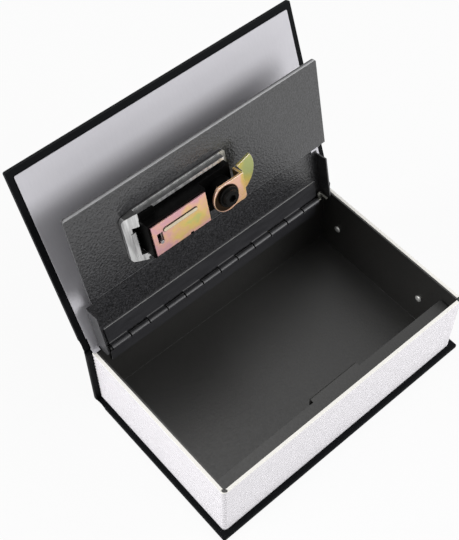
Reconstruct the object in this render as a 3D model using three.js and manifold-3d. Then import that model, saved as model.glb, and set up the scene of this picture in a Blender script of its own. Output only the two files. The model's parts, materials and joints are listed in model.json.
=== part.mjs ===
// A book diversion safe: a case binding with a steel tray in place of its pages, a lid on a
// piano hinge inside it, and a three-dial combination lock with a turning cam on the lid.
// Millimetres. X runs along the book's long side, Y from the fore edge to the spine, Z up.
// The origin is the centre of the block's footprint, on the underside of the back board.
// The book stands open, as it is shown: the cover and the lid lean back past the vertical.
import * as THREE from 'three';
import { mergeVertices } from 'three/addons/utils/BufferGeometryUtils.js';
import Module from 'manifold-3d';

const wasm = await Module();
wasm.setup();

// The case binding
const boardLength = 181.4;
const boardThickness = 3;
const boardCornerRadius = 1;
const backOverhang = 3.5;
const frontOverhang = 6.4;
const spineThickness = 2.7;
const spineEdgeRadius = 1.3;
const spineGap = 0.6;
const jointWidth = 7;
const clothThickness = 0.6;
const clothRise = 0.2;
const endpaperThickness = 0.4;
const endpaperSideMargin = 3.6;
const endpaperForeMargin = 3.6;
const endpaperCornerRadius = 0.8;

// The page block, a shell round three sides of the tray
const blockLength = 175;
const blockDepth = 107.5;
const blockHeight = 48;
const pageWall = 1.8;
const pageCornerRadius = 2.2;
const pageRibCount = 15;
const pageGrooveDepth = 0.6;
const pageGrooveHeight = 1.1;

// The steel tray and its lid are folded from one gauge of sheet
const sheet = 0.8;
const bendRadius = 0.9;
const trayClearance = 0.2;
const flangeDepth = 8.5;
const flangeEndGap = 1.5;
const flangeReliefDepth = 2.5;
const keeperWidth = 34;
const keeperLength = 2.9;
const keeperDrop = 6.8;
const rivetHeadRadius = 2.3;
const rivetHeadHeight = 1.0;
const rivetShankRadius = 1.2;
const rivetShankLength = 1.8;
const rivetSeat = 0.1;
const rivetDepthBelowRim = 26.3;
const rivetFromSpine = 14.3;
const rivetFromForeEdge = 26.0;

// The piano hinge, whose axis lies just under the rim
const hingeEndGap = 7.7;
const knuckleCount = 12;
const knuckleGap = 0.3;
const knuckleRelief = 1.3;
const barrelRadius = 1.8;
const boreRadius = 1.05;
const pinRadius = 0.85;
const pinHeadRadius = 1.5;
const pinHeadHeight = 0.8;
const pinKnobWidth = 3.8;
const pinKnobRise = 5.2;
const pinKnobDepth = 2.6;
const pinKnobOffset = 2.8;
const pinKnobBack = 0.3;
const pinTailRadius = 0.75;
const pinTailReach = 5;
const pinTailDrop = 1.8;
const pinTailSide = 0.4;
const leafThickness = 0.7;
const leafWidth = 14.2;
const axisBelowRim = 2.7;

// The lid: a plate that lies sunk on the front flange, stepped up to a tongue over the hinge
const lidOpenAngle = 102.7;
const lidSideGap = 2.7;
const plateFrontClearance = 0.8;
const plateDrop = 6.4;
const plateStart = 44.1;
const plateCornerRadius = 2;
const lipHeight = 1.7;
const tongueStart = 1.2;
const tongueLift = 1.9;
const earStart = 1.6;
const earEnd = 32.7;
const earCornerCut = 2.5;
const reliefWidth = 4;
const reliefGap = 1.3;

// The combination lock, measured along the lid from its hinge and out from its inner face
const lockCentre = 68.6;
const lockLeft = -54.5;
const housingSide = 4.8;
const housingEndWall = 2.6;
const housingCornerRadius = 2.2;
const housingBase = 1.2;
const housingLedge = 0.9;
const housingWallHeight = 4.8;
const housingWall = 1.8;
const housingBorder = 4.2;
const noseLength = 8.5;
const noseSide = 2.9;
const noseLowHeight = 2.6;
const noseHighHeight = 5.6;
const noseLipWidth = 1.5;
const noseLipLength = 15.6;
const noseLipHeight = 4.4;
const noseNotchLength = 3.1;
const railEndGap = 3.4;
const bodyFromLeft = 8.5;
const bodyWall = 1.6;
const cageEndGap = 2;
const cageHeight = 12.0;
const footEnd = 1.4;
const footHeight = 6.6;
const clipLength = 9;
const clipThickness = 1.3;
const backPlateEndInset = 1;
const backPlateSideInset = 1.5;
const backPlateThickness = 0.8;
const ribFromRight = 6.6;
const ribWidth = 2.6;
const ribHeight = 0.7;
const ribFromLeft = 6.7;
const ribOffset = 3.8;
const leverSize = 1.7;
const leverSlotLength = 6.2;
const leverTravel = 3;
const leverFromLeft = 4.1;
const leverProud = 1.4;
const leverDepth = 0.8;
const leverGap = 0.35;
const notchWidth = 2;
const notchDepth = 0.9;
const notchFromLeft = 21.5;

// The dials behind the face plate
const dialCount = 3;
const dialPitch = 11;
const dialWidth = 8.6;
const dialRadius = 8.2;
const dialSideGap = 1.2;
const dialFlute = 0.45;
const digitCount = 10;
const dialAxisDepth = 2.8;
const axleRadius = 1.2;
const axleClearance = 0.25;
const springThickness = 0.3;
const springWidth = 2.4;
const springLength = 17;
const springSpineWidth = 2.4;

// The face plate and turning knob on the lid's outer face
const faceOverlap = 1.5;
const faceThickness = 1.8;
const faceEdge = 0.5;
const windowClearance = 0.5;
const knobRadius = 8.6;
const knobBase = 1.8;
const knobGripWidth = 5;
const knobGripHeight = 3.6;
const knobSeatDepth = 2.4;

// The turning shaft, its bearing and the cam that hooks under the keeper
const shaftFromCage = 11;
const shaftOffset = -0.2;
const shaftRadius = 3.0;
const shaftSquare = 4.4;
const shaftClearance = 0.35;
const bossRadius = 8;
const camThickness = 1.5;
const camRise = 13.5;
const camHeadRadius = 9.3;
const camArmFront = 7.9;
const camArmBack = 8.6;
const camArmLength = 11.6;
const camArmCorner = 1.3;
const camCrank = 5.7;
const clawHeelRadius = 17.7;
const clawHeelAngle = -27.5;
const clawTipRadius = 24.2;
const clawTipAngle = 27;
const clawBeakRadius = 15;
const clawBeakAngle = 33.5;
const clawThroatRadius = 15.6;
const clawThroatAngle = 12.2;
const screwFlangeRadius = 5.9;
const screwFlangeHeight = 1.1;
const screwHeadRadius = 4.7;
const screwHeadHeight = 3.3;
const screwSocketFlats = 4;
const screwSocketDepth = 2.2;
const screwShankRadius = 1.3;
const screwShankLength = 5;

// Shared fits
const seat = 0.3;
const overrun = 1;
const coverOpenAngle = 110.56;
const coverPivotDrop = 1.3;
const roundSides = 32;
const smallSides = 16;
const hexSides = 6;

// Heights and places that follow from the sizes above
const blockBottom = boardThickness;
const rim = blockBottom + blockHeight;
const foreEdge = -blockDepth / 2;
const spineSide = blockDepth / 2;
const trayOuterX = blockLength / 2 - pageWall - trayClearance;
const trayInnerX = trayOuterX - sheet;
const trayFront = foreEdge + pageWall + trayClearance;
const trayFrontInner = trayFront + sheet;
const trayBackInner = spineSide - sheet;
const hingeLength = 2 * (trayInnerX - hingeEndGap);
const axisY = trayBackInner - trayClearance - barrelRadius;
const axisZ = rim - axisBelowRim;
const lidHalf = trayInnerX - lidSideGap;
const plateInner = plateDrop;
const plateOuter = plateDrop - sheet;
const tongueInner = -tongueLift;
const lidReach = axisY - trayFrontInner - plateFrontClearance;
const flangeTop = axisZ - plateDrop - seat;
const spineInner = spineSide + spineGap;
const spineOuter = spineInner + spineThickness;
const bodyWidth = 2 * (dialRadius + dialSideGap + bodyWall);
const cageLength = dialCount * dialPitch + 2 * cageEndGap;
const backPlateLength = cageLength - 2 * backPlateEndInset;
const backPlateWidth = bodyWidth - 2 * backPlateSideInset;
const housingWidth = bodyWidth + 2 * housingSide;
const noseWidth = bodyWidth + 2 * noseSide;
const bodyLeft = lockLeft + bodyFromLeft;
const cageRight = bodyLeft + cageLength;
const noseRight = lockLeft + noseLength;
const shaftX = cageRight + shaftFromCage;
const bodyRight = shaftX + bossRadius + footEnd;
const lockRight = bodyRight + housingEndWall;
const bodyBase = plateInner + seat;
const cageTop = bodyBase + cageHeight;
const footTop = bodyBase + footHeight;
const housingTop = plateInner + housingWallHeight;
const dialMiddle = (bodyLeft + cageRight) / 2;
const dialAxis = plateInner + dialAxisDepth;
const shaftS = lockCentre + shaftOffset;
const camBase = plateInner + camRise;
const faceTop = plateOuter - seat;
const faceOuter = faceTop - faceThickness;
const coverPivotY = spineOuter;
const coverPivotZ = rim + seat + boardThickness - coverPivotDrop;
const coverInner = coverPivotZ - rim - seat;
const coverReach = coverPivotY - foreEdge + frontOverhang;

const finish = (name, color, roughness, metalness) =>
  new THREE.MeshStandardMaterial({ name, color, roughness, metalness });
const bookcloth = finish('bookcloth', '#1d1f21', 0.75, 0);
const pageWhite = finish('page_white', '#f0eff2', 0.85, 0);
const endpaper = finish('endpaper', '#cfcfd2', 0.7, 0);
const traySteel = finish('tray_steel', '#2f3032', 0.5, 0.2);
const lidSteel = finish('lid_steel', '#47484c', 0.5, 0.2);
const rivetSteel = finish('rivet_steel', '#b9b9b6', 0.35, 0.9);
const dieCast = finish('die_cast', '#c2c3c2', 0.4, 0.8);
const blackPlastic = finish('black_plastic', '#141414', 0.45, 0);
const zincGold = finish('zinc_gold', '#d9b27a', 0.3, 0.9);
const blackSteel = finish('black_steel', '#17191a', 0.35, 0.6);
const springSteel = finish('spring_steel', '#9a9c9e', 0.3, 1);

const model = new THREE.Group();
const lid = new THREE.Group();
const cover = new THREE.Group();
lid.position.set(0, axisY, axisZ);
lid.rotation.x = Math.PI - THREE.MathUtils.degToRad(lidOpenAngle);
cover.position.set(0, coverPivotY, coverPivotZ);
cover.rotation.x = Math.PI - THREE.MathUtils.degToRad(coverOpenAngle);
model.add(lid, cover);

// A closed geometry as a solid that can be joined and cut, and back again
function solid(geometry) {
  const bare = geometry.clone();
  bare.deleteAttribute('normal');
  bare.deleteAttribute('uv');
  const merged = mergeVertices(bare);
  return new wasm.Manifold(new wasm.Mesh({
    numProp: 3,
    vertProperties: new Float32Array(merged.attributes.position.array),
    triVerts: new Uint32Array(merged.index.array),
  }));
}

function geometryOf(piece) {
  const mesh = piece.getMesh();
  const geometry = new THREE.BufferGeometry();
  geometry.setAttribute('position', new THREE.BufferAttribute(mesh.vertProperties, mesh.numProp));
  geometry.setIndex(new THREE.BufferAttribute(mesh.triVerts, 1));
  geometry.computeVertexNormals();
  return geometry;
}

function add(group, name, piece, material) {
  const mesh = new THREE.Mesh(geometryOf(piece), material);
  mesh.name = name;
  group.add(mesh);
  return mesh;
}

function block(x0, x1, y0, y1, z0, z1) {
  const geometry = new THREE.BoxGeometry(x1 - x0, y1 - y0, z1 - z0);
  geometry.translate((x0 + x1) / 2, (y0 + y1) / 2, (z0 + z1) / 2);
  return solid(geometry);
}

// A round bar standing along Z, and one lying along X
function pillar(radius, x, y, z0, z1, sides = roundSides) {
  const geometry = new THREE.CylinderGeometry(radius, radius, z1 - z0, sides);
  geometry.rotateX(Math.PI / 2);
  geometry.translate(x, y, (z0 + z1) / 2);
  return solid(geometry);
}

function barX(radius, x0, x1, y, z, sides = roundSides) {
  const geometry = new THREE.CylinderGeometry(radius, radius, x1 - x0, sides);
  geometry.rotateZ(Math.PI / 2);
  geometry.translate((x0 + x1) / 2, y, z);
  return solid(geometry);
}

// A round rod between two points
function rod(radius, start, end, sides = smallSides) {
  const from = new THREE.Vector3(...start);
  const along = new THREE.Vector3(...end).sub(from);
  const geometry = new THREE.CylinderGeometry(radius, radius, along.length(), sides);
  const turn = new THREE.Quaternion()
    .setFromUnitVectors(new THREE.Vector3(0, 1, 0), along.clone().normalize());
  geometry.translate(0, along.length() / 2, 0);
  geometry.applyQuaternion(turn);
  geometry.translate(from.x, from.y, from.z);
  return solid(geometry);
}

// A flat outline in X and Y raised from z0 to z1
function raise(shape, z0, z1, curveSegments = smallSides / 2) {
  const geometry = new THREE.ExtrudeGeometry(shape, { depth: z1 - z0, bevelEnabled: false, curveSegments });
  geometry.translate(0, 0, z0);
  return solid(geometry);
}

// A section in Y and Z run along X
function runX(shape, x0, x1) {
  const geometry = new THREE.ExtrudeGeometry(shape, { depth: x1 - x0, bevelEnabled: false });
  const alongX = new THREE.Matrix4().makeBasis(
    new THREE.Vector3(0, 1, 0),
    new THREE.Vector3(0, 0, 1),
    new THREE.Vector3(1, 0, 0),
  );
  geometry.applyMatrix4(alongX);
  geometry.translate(x0, 0, 0);
  return solid(geometry);
}

// A section in X and Z run along Y
function runY(shape, y0, y1) {
  const geometry = new THREE.ExtrudeGeometry(shape, { depth: y1 - y0, bevelEnabled: false });
  geometry.rotateX(Math.PI / 2);
  geometry.translate(0, y1, 0);
  return solid(geometry);
}

function outline(points) {
  return new THREE.Shape(points.map(([x, y]) => new THREE.Vector2(x, y)));
}

// A closed outline with every corner eased by the same amount
function easedOutline(points, radius) {
  const corners = points.map(([x, y]) => new THREE.Vector2(x, y));
  const shape = new THREE.Shape();
  corners.forEach((corner, i) => {
    const previous = corners[(i + corners.length - 1) % corners.length];
    const next = corners[(i + 1) % corners.length];
    const start = corner.clone().addScaledVector(previous.clone().sub(corner).normalize(), radius);
    const end = corner.clone().addScaledVector(next.clone().sub(corner).normalize(), radius);
    if (i === 0) shape.moveTo(start.x, start.y);
    else shape.lineTo(start.x, start.y);
    shape.quadraticCurveTo(corner.x, corner.y, end.x, end.y);
  });
  return shape;
}

// A rectangle whose corners are arcs, with their radii given anticlockwise from the lower left
function roundedBox(x0, x1, y0, y1, radii) {
  const [lowLeft, lowRight, highRight, highLeft] = radii;
  const shape = new THREE.Shape();
  shape.moveTo(x0 + lowLeft, y0);
  shape.lineTo(x1 - lowRight, y0);
  if (lowRight > 0) shape.absarc(x1 - lowRight, y0 + lowRight, lowRight, -Math.PI / 2, 0);
  shape.lineTo(x1, y1 - highRight);
  if (highRight > 0) shape.absarc(x1 - highRight, y1 - highRight, highRight, 0, Math.PI / 2);
  shape.lineTo(x0 + highLeft, y1);
  if (highLeft > 0) shape.absarc(x0 + highLeft, y1 - highLeft, highLeft, Math.PI / 2, Math.PI);
  shape.lineTo(x0, y0 + lowLeft);
  if (lowLeft > 0) shape.absarc(x0 + lowLeft, y0 + lowLeft, lowLeft, Math.PI, Math.PI * 1.5);
  return shape;
}

// The section of a sheet folded along a line of points, with an arc at each bend
function foldedSection(points, thickness, radius) {
  const line = [new THREE.Vector2(...points[0])];
  const steps = 4;
  for (let i = 1; i < points.length - 1; i += 1) {
    const corner = new THREE.Vector2(...points[i]);
    const before = new THREE.Vector2(...points[i - 1]).sub(corner).normalize();
    const after = new THREE.Vector2(...points[i + 1]).sub(corner).normalize();
    const start = corner.clone().addScaledVector(before, radius);
    const end = corner.clone().addScaledVector(after, radius);
    const bend = new THREE.QuadraticBezierCurve(start, corner, end);
    line.push(...bend.getPoints(steps));
  }
  line.push(new THREE.Vector2(...points[points.length - 1]));
  const sides = [[], []];
  line.forEach((point, i) => {
    const back = line[Math.max(i - 1, 0)];
    const ahead = line[Math.min(i + 1, line.length - 1)];
    const along = ahead.clone().sub(back).normalize();
    const across = new THREE.Vector2(-along.y, along.x).multiplyScalar(thickness / 2);
    sides[0].push(point.clone().add(across));
    sides[1].push(point.clone().sub(across));
  });
  return new THREE.Shape([...sides[1], ...sides[0].reverse()]);
}

function joined(pieces) {
  return pieces.reduce((whole, piece) => whole.add(piece));
}

function cut(piece, tools) {
  return tools.reduce((rest, tool) => rest.subtract(tool), piece);
}

// Back board: a cloth-covered board under the block, with its two fore corners rounded
function backBoard() {
  const halfLength = boardLength / 2;
  const shape = roundedBox(-halfLength, halfLength, foreEdge - backOverhang, spineInner - jointWidth,
    [boardCornerRadius, boardCornerRadius, 0, 0]);
  return raise(shape, 0, boardThickness);
}

// Back joint: the cloth that crosses from the back board to the spine, just off the table
function backJoint() {
  const halfLength = boardLength / 2;
  return block(-halfLength, halfLength, spineInner - jointWidth + seat, spineInner - seat,
    clothRise, clothRise + clothThickness);
}

// Spine board: a flat board as high as the block, its long edges softened by the cloth
function spineBoard() {
  const r = spineEdgeRadius;
  const shape = roundedBox(spineInner, spineOuter, 0, rim, [0, r, r, r]);
  return runX(shape, -boardLength / 2, boardLength / 2);
}

// Page block: a shell of the fore edge and both ends, grooved like a stack of leaves
function pageOutline(inset) {
  const x = blockLength / 2 - inset;
  const y = foreEdge + inset;
  return roundedBox(-x, x, y, spineSide, [pageCornerRadius, pageCornerRadius, 0, 0]);
}

function pageBlock() {
  const pitch = blockHeight / pageRibCount;
  const leaves = [raise(pageOutline(pageGrooveDepth), blockBottom, rim)];
  for (let i = 0; i < pageRibCount; i += 1) {
    const bottom = blockBottom + i * pitch;
    const top = i === pageRibCount - 1 ? rim : bottom + pitch - pageGrooveHeight;
    leaves.push(raise(pageOutline(0), bottom, top));
  }
  const hollow = block(-trayOuterX - trayClearance, trayOuterX + trayClearance,
    trayFront - trayClearance, spineSide + overrun, blockBottom - overrun, rim + overrun);
  return cut(joined(leaves), [hollow, ...rivetHoles(rivetShankLength + seat)]);
}

// Rivets: two in each end wall of the tray, at mid height
function rivetPlaces() {
  const rows = [spineSide - rivetFromSpine, foreEdge + rivetFromForeEdge];
  return [1, -1].flatMap((side) => rows.map((y) => ({ side, y })));
}

function rivetHoles(depth) {
  return rivetPlaces().map(({ side, y }) => {
    const inner = side * (trayInnerX - overrun);
    const outer = side * (trayInnerX + depth);
    return barX(rivetShankRadius + trayClearance, Math.min(inner, outer), Math.max(inner, outer),
      y, rim - rivetDepthBelowRim, smallSides);
  });
}

function rivet() {
  const crownShares = [[1, 0], [0.92, 0.5], [0.6, 0.9], [0, 1]];
  const profile = [
    [0, 0],
    [rivetShankRadius, 0],
    [rivetShankRadius, rivetShankLength],
    ...crownShares.map(([r, h]) => [rivetHeadRadius * r, rivetShankLength + rivetHeadHeight * h]),
  ].map(([r, h]) => new THREE.Vector2(r, h));
  return solid(new THREE.LatheGeometry(profile, smallSides));
}

// The section of a sheet's edge: a level leg from y0 that turns down at y1
function turnedEdge(y0, y1, top, bottom) {
  const turn = Math.sign(y1 - y0);
  const shape = new THREE.Shape();
  shape.moveTo(y0, top);
  shape.lineTo(y1 - turn * bendRadius, top);
  shape.quadraticCurveTo(y1, top, y1, top - bendRadius);
  shape.lineTo(y1, bottom);
  shape.lineTo(y1 - turn * sheet, bottom);
  shape.lineTo(y1 - turn * sheet, top - sheet);
  shape.lineTo(y0, top - sheet);
  return shape;
}

// Tray: floor and walls of sheet, with the front wall folded in as a flange and a keeper
function tray() {
  const bottom = blockBottom;
  const shell = block(-trayOuterX, trayOuterX, trayFront, spineSide, bottom, rim);
  const inside = block(-trayInnerX, trayInnerX, trayFrontInner, trayBackInner, bottom + sheet, rim + overrun);
  const openBack = block(-trayInnerX, trayInnerX, trayBackInner - overrun, spineSide + overrun,
    axisZ, rim + overrun);
  const openFront = block(-trayInnerX, trayInnerX, trayFront - overrun, trayFrontInner + overrun,
    flangeTop - flangeReliefDepth, rim + overrun);
  const flangeX = trayInnerX - flangeEndGap;
  const flangeEdge = trayFrontInner + flangeDepth;
  const flange = turnedEdge(flangeEdge, trayFront, flangeTop, flangeTop - flangeReliefDepth - overrun);
  const keeper = turnedEdge(flangeEdge - overrun, flangeEdge + keeperLength, flangeTop,
    flangeTop - keeperDrop);
  const keeperX = shaftX - keeperWidth / 2;
  return cut(shell, [inside, openBack, openFront, ...rivetHoles(pageWall)])
    .add(runX(flange, -flangeX, flangeX))
    .add(runX(keeper, keeperX, keeperX + keeperWidth));
}

// Piano hinge: one leaf with every second knuckle rolled on its edge
function hingeLeaf(first, side) {
  const pitch = hingeLength / knuckleCount;
  const outer = side * barrelRadius;
  const inner = side * (barrelRadius - leafThickness);
  const strip = [Math.min(outer, inner), Math.max(outer, inner)];
  const bore = barX(boreRadius, -hingeLength, hingeLength, 0, 0, smallSides);
  const pieces = [
    block(-hingeLength / 2, hingeLength / 2, barrelRadius + knuckleRelief, leafWidth, ...strip),
  ];
  for (let i = first; i < knuckleCount; i += 2) {
    const x0 = -hingeLength / 2 + i * pitch + knuckleGap / 2;
    const x1 = x0 + pitch - knuckleGap;
    pieces.push(barX(barrelRadius, x0, x1, 0, 0, smallSides));
    pieces.push(block(x0, x1, 0, barrelRadius + knuckleRelief + knuckleGap, ...strip));
  }
  return joined(pieces).subtract(bore);
}

// Hinge pin: a long wire with a head at its left end; its right end is beaten up and bent forward
function hingePin() {
  const half = hingeLength / 2 + seat;
  const knobX = half + pinKnobWidth / 2 - trayClearance;
  const knob = new THREE.SphereGeometry(1, smallSides, smallSides / 2);
  knob.scale(pinKnobWidth / 2, pinKnobRise / 2, pinKnobDepth / 2);
  knob.translate(knobX, pinKnobOffset, -pinKnobBack);
  const tailX = knobX + pinKnobWidth / 6;
  const tailTop = pinKnobOffset + pinKnobRise / 4;
  return joined([
    barX(pinRadius, -half, knobX, 0, 0, smallSides),
    barX(pinHeadRadius, -half - pinHeadHeight, -half + seat / 2, 0, 0, smallSides),
    solid(knob),
    rod(pinTailRadius, [tailX, tailTop, 0], [tailX + pinTailSide, tailTop - pinTailDrop, pinTailReach]),
  ]);
}

// Lid sheet: tongue, step, sunk plate and turned-up lip, with an ear folded in at each end and
// the corner where ear and step would meet cut away
function lidSheet() {
  const half = sheet / 2;
  const section = foldedSection([
    [tongueStart, tongueInner - half],
    [plateStart + half, tongueInner - half],
    [plateStart + half, plateInner - half],
    [lidReach - half, plateInner - half],
    [lidReach - half, plateInner - lipHeight],
  ], sheet, bendRadius);
  const r = plateCornerRadius;
  const top = plateInner + overrun;
  const bottom = tongueInner - sheet - overrun;
  const blank = runX(section, -lidHalf, lidHalf)
    .intersect(raise(roundedBox(-lidHalf, lidHalf, 0, lidReach, [0, 0, r, r]), bottom, top));
  const reliefs = [-1, 1].map((side) => {
    const inner = side * (lidHalf - reliefWidth);
    const outer = side * (lidHalf + overrun);
    return block(Math.min(inner, outer), Math.max(inner, outer), earEnd + reliefGap, plateStart + sheet,
      bottom, top);
  });
  const ears = [-1, 1].map((side) => {
    const outer = side * lidHalf;
    const inner = side * (lidHalf - sheet);
    const shape = outline([
      [earStart, tongueInner - sheet],
      [earEnd, tongueInner - sheet],
      [earEnd, plateInner],
      [earStart + earCornerCut, plateInner],
      [earStart, plateInner - earCornerCut],
    ]);
    return runX(shape, Math.min(outer, inner), Math.max(outer, inner));
  });
  const dialWindow = block(lockLeft + housingBorder, cageRight - bodyWall, lockCentre - dialRadius,
    lockCentre + dialRadius, bottom, top);
  const shaftHole = pillar(shaftRadius + shaftClearance * 2, shaftX, shaftS, bottom, top);
  return cut(joined([blank, ...ears]), [dialWindow, shaftHole, ...reliefs]);
}

// Lock housing: a die-cast frame with a raised rail, and a nose that slopes down to the left
function lockHousing() {
  const wide = housingWidth / 2;
  const narrow = noseWidth / 2;
  const plan = easedOutline([
    [lockLeft, lockCentre - narrow],
    [noseRight, lockCentre - wide],
    [lockRight, lockCentre - wide],
    [lockRight, lockCentre + wide],
    [noseRight, lockCentre + wide],
    [lockLeft, lockCentre + narrow],
  ], housingCornerRadius);
  const base = raise(plan, bodyBase, plateInner + housingBase);
  const ramp = outline([
    [lockLeft - overrun, bodyBase],
    [noseRight, bodyBase],
    [noseRight, plateInner + noseHighHeight],
    [lockLeft, plateInner + noseLowHeight],
    [lockLeft - overrun, plateInner + noseLowHeight],
  ]);
  const nose = raise(plan, bodyBase, cageTop)
    .intersect(runY(ramp, lockCentre - housingWidth, lockCentre + housingWidth));
  const rails = [-1, 1].map((side) => {
    const outer = lockCentre + side * (wide - housingLedge);
    const inner = outer - side * housingWall;
    return block(noseRight - overrun, lockRight - railEndGap, Math.min(outer, inner), Math.max(outer, inner),
      bodyBase, housingTop);
  });
  const half = bodyWidth / 2 + seat;
  const top = cageTop + overrun;
  const bodyOpening = block(bodyLeft - seat, bodyRight + seat, lockCentre - half, lockCentre + half, 0, top);
  const windowLeft = lockLeft + housingBorder;
  const windowTop = lockCentre - half + noseLipLength + noseNotchLength;
  const window = block(windowLeft, bodyLeft, lockCentre - half, windowTop, 0, top);
  const footSide = block(cageRight, lockRight + overrun, lockCentre - wide - overrun, lockCentre - half,
    0, top);
  const lip = block(windowLeft - overrun, windowLeft + noseLipWidth, lockCentre - half - overrun,
    lockCentre - half + noseLipLength, bodyBase, plateInner + noseLipHeight);
  return cut(joined([base, nose, ...rails]), [bodyOpening, window, footSide]).add(lip);
}

// Lock body: the black moulding with the dial cage, the foot under the cam and its boss
function lockBody() {
  const s0 = lockCentre - bodyWidth / 2;
  const s1 = lockCentre + bodyWidth / 2;
  const cage = block(bodyLeft, cageRight, s0, s1, bodyBase, cageTop);
  const foot = block(cageRight - overrun, bodyRight, s0, s1, bodyBase, footTop);
  const boss = pillar(bossRadius, shaftX, shaftS, bodyBase, camBase - seat);
  const clipLeft = noseRight + seat;
  const clip = block(clipLeft, clipLeft + clipLength, s1 - overrun,
    lockCentre + housingWidth / 2 - housingLedge, housingTop + seat, housingTop + seat + clipThickness);
  const pocket = block(bodyLeft + bodyWall, cageRight - bodyWall, s0 + bodyWall, s1 - bodyWall,
    bodyBase - overrun, cageTop + overrun);
  const axleHole = barX(axleRadius + axleClearance, bodyLeft - overrun, cageRight + overrun, lockCentre,
    dialAxis, smallSides);
  const bore = pillar(shaftRadius + shaftClearance, shaftX, shaftS, 0, camBase + overrun);
  const boreRelief = block(cageRight + bodyWall, bodyRight - bodyWall, s0 + bodyWall, s1 - bodyWall,
    bodyBase - overrun, footTop - bodyWall).subtract(pillar(bossRadius, shaftX, shaftS, 0, camBase));
  return cut(joined([cage, foot, boss, clip]), [pocket, axleHole, bore, boreRelief]);
}

// Back plate: zinc-plated sheet over the cage, with a pressed rib and the code lever's slot
function backPlate() {
  const left = bodyLeft + backPlateEndInset;
  const s0 = lockCentre - backPlateWidth / 2;
  const z0 = cageTop + seat;
  const z1 = z0 + backPlateThickness;
  const plate = block(left, left + backPlateLength, s0, s0 + backPlateWidth, z0, z1);
  const ribY = lockCentre + ribOffset;
  const ribX = left + ribFromLeft;
  const ribRight = left + backPlateLength - ribFromRight;
  const rib = raise(roundedBox(ribX, ribRight, ribY - ribWidth / 2, ribY + ribWidth / 2,
    Array(4).fill(ribWidth / 2)), z1 - backPlateThickness / 2, z1 + ribHeight);
  const slotX = left + leverFromLeft;
  const slotHalf = leverSize / 2 + leverGap;
  const slot = block(slotX - slotHalf, slotX + slotHalf, leverStart() - slotHalf,
    leverStart() - slotHalf + leverSlotLength, z0 - overrun, z1 + overrun);
  const notch = block(left + notchFromLeft, left + notchFromLeft + notchWidth, s0 - overrun,
    s0 + notchDepth, z0 - overrun, z1 + overrun);
  return cut(plate.add(rib), [slot, notch]);
}

function leverStart() {
  return lockCentre - leverTravel / 2;
}

// Code lever: a square stud that slides in the back plate's slot to set a new code
function codeLever() {
  const x = bodyLeft + backPlateEndInset + leverFromLeft;
  const half = leverSize / 2;
  const top = cageTop + seat + backPlateThickness + leverProud;
  return block(x - half, x + half, leverStart() - half, leverStart() + half, cageTop - leverDepth, top);
}

// Dials: wheels with a flat and a shallow flute for each digit, on one axle
function dialX(i) {
  return dialMiddle + (i - (dialCount - 1) / 2) * dialPitch;
}

function dialWheel(i) {
  const points = [];
  const step = (Math.PI * 2) / digitCount;
  const fluteShare = 0.18;
  for (let k = 0; k < digitCount; k += 1) {
    const angle = k * step;
    const crest = step * (0.5 - fluteShare);
    points.push([dialRadius * Math.cos(angle - crest), dialRadius * Math.sin(angle - crest)]);
    points.push([dialRadius * Math.cos(angle + crest), dialRadius * Math.sin(angle + crest)]);
    const flute = dialRadius - dialFlute;
    points.push([flute * Math.cos(angle + step / 2), flute * Math.sin(angle + step / 2)]);
  }
  const x0 = dialX(i) - dialWidth / 2;
  const wheel = runX(outline(points), x0, x0 + dialWidth);
  const bore = barX(axleRadius + axleClearance, x0 - overrun, x0 + dialWidth + overrun, 0, 0, smallSides);
  return wheel.subtract(bore).translate(0, lockCentre, dialAxis);
}

function dialAxle() {
  return barX(axleRadius, bodyLeft + seat, cageRight - seat, lockCentre, dialAxis, smallSides);
}

// Detent spring: one strip with a finger pressed on each dial, under the back plate
function detentSpring() {
  const z1 = cageTop - seat / 2;
  const z0 = z1 - springThickness;
  const s0 = lockCentre - springLength / 2;
  const left = dialX(0) - springWidth / 2;
  const right = dialX(dialCount - 1) + springWidth / 2;
  const fingers = [];
  for (let i = 0; i < dialCount; i += 1) {
    const x = dialX(i) - springWidth / 2;
    fingers.push(block(x, x + springWidth, s0, s0 + springLength, z0, z1));
  }
  return block(left, right, s0, s0 + springSpineWidth, z0, z1).add(joined(fingers));
}

// Face plate: the bezel on the outer face, with a slot for each dial and the knob's hole
function facePlate() {
  const x0 = lockLeft - faceOverlap;
  const x1 = lockRight + faceOverlap;
  const s0 = lockCentre - housingWidth / 2 - faceOverlap;
  const s1 = lockCentre + housingWidth / 2 + faceOverlap;
  const r = housingCornerRadius + faceOverlap;
  const edge = faceEdge;
  const wide = raise(roundedBox(x0, x1, s0, s1, Array(4).fill(r)), faceOuter + edge, faceTop);
  const crown = raise(roundedBox(x0 + edge, x1 - edge, s0 + edge, s1 - edge, Array(4).fill(r - edge)),
    faceOuter, faceTop - edge);
  const chord = Math.sqrt(dialRadius ** 2 - (dialAxis - faceTop) ** 2) + windowClearance;
  const slots = [];
  for (let i = 0; i < dialCount; i += 1) {
    const half = dialWidth / 2 + windowClearance;
    slots.push(block(dialX(i) - half, dialX(i) + half, lockCentre - chord, lockCentre + chord,
      faceOuter - overrun, faceTop + overrun));
  }
  const hole = pillar(shaftRadius + shaftClearance, shaftX, shaftS, faceOuter - overrun, faceTop + overrun);
  return cut(wide.add(crown), [...slots, hole]);
}

// Knob: a disc with a finger bar, pressed on the outer end of the shaft
function knob() {
  const top = faceOuter - seat;
  const disc = pillar(knobRadius, shaftX, shaftS, top - knobBase, top);
  const half = knobGripWidth / 2;
  const reach = Math.sqrt(knobRadius ** 2 - half ** 2) - faceEdge;
  const grip = block(shaftX - half, shaftX + half, shaftS - reach, shaftS + reach,
    top - knobBase - knobGripHeight, top - faceEdge);
  const socket = pillar(shaftRadius + trayClearance, shaftX, shaftS, top - knobSeatDepth, top + overrun);
  return disc.add(grip).subtract(socket);
}

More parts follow.
